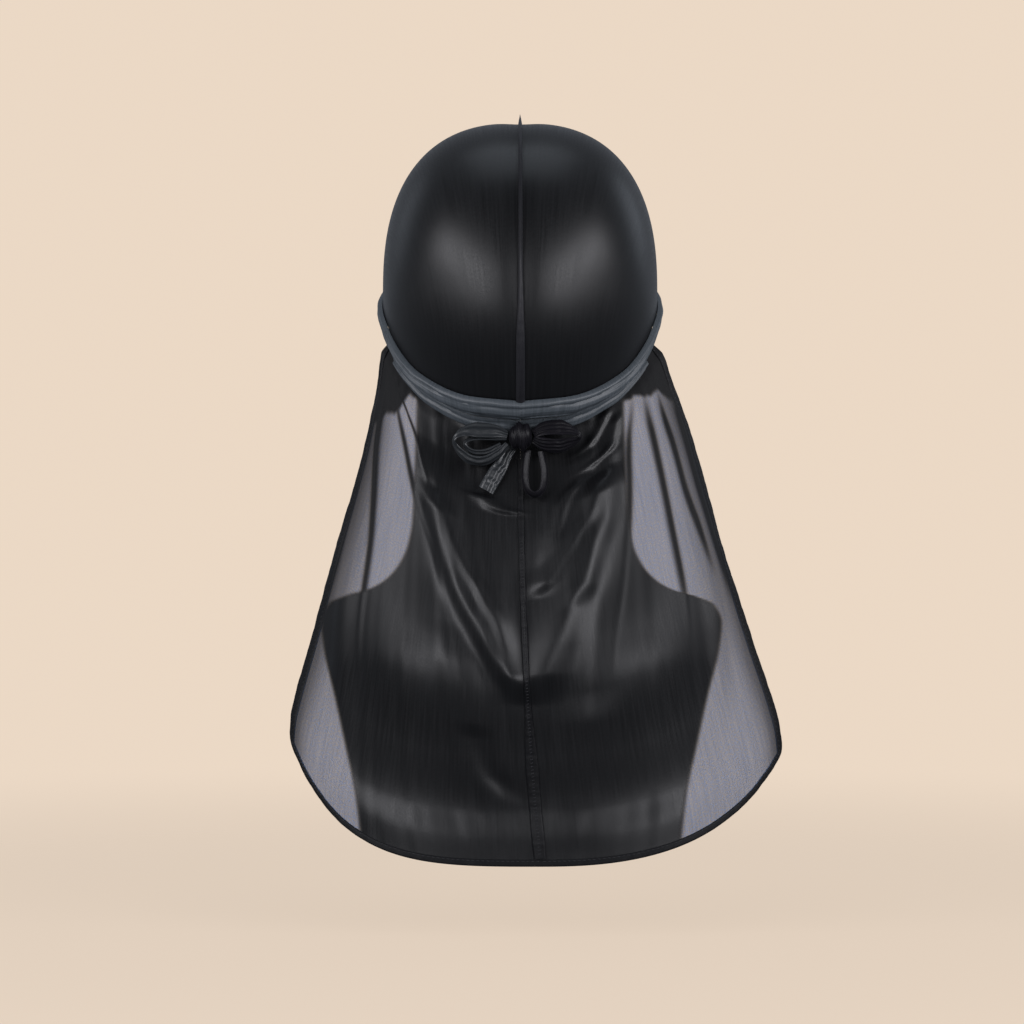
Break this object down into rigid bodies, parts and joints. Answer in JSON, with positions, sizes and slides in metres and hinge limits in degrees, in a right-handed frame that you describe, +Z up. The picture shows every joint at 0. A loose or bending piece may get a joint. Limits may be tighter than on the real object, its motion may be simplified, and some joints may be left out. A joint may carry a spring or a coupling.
{
  "type": "durag",
  "caption": "Silky durag as worn: a crown with a standing seam, a draped cape over the neck, and straps tied in a bow at the nape.",
  "frame": {"origin": "middle of the head hollow, where a head holds the durag up", "axes": "+X to the wearer's right, +Y the way the wearer faces, +Z up"},
  "size_m": [0.2754, 0.2019, 0.4175],
  "materials": {
    "satin_cloth": "satin, sheer at the wings",
    "crown_seam": "satin, stitched",
    "cape_seam": "overlocked thread",
    "hem": "doubled satin, stitched",
    "strap": "satin, bunched lengthwise",
    "bow": "satin, gathered"
  },
  "bodies": {
    "root": {"left_crown": "satin_cloth", "right_crown": "satin_cloth", "left_cape": "satin_cloth", "right_cape": "satin_cloth", "crown_seam": "crown_seam", "cape_seam": "cape_seam", "left_hem": "hem", "right_hem": "hem", "strap_left": "strap", "strap_right": "strap", "wrap_band": "strap", "knot": "bow", "bow_loop_left": "bow", "bow_loop_right": "bow", "bow_tail_left": "bow", "bow_tail_right": "bow"}
  },
  "joints": []
}
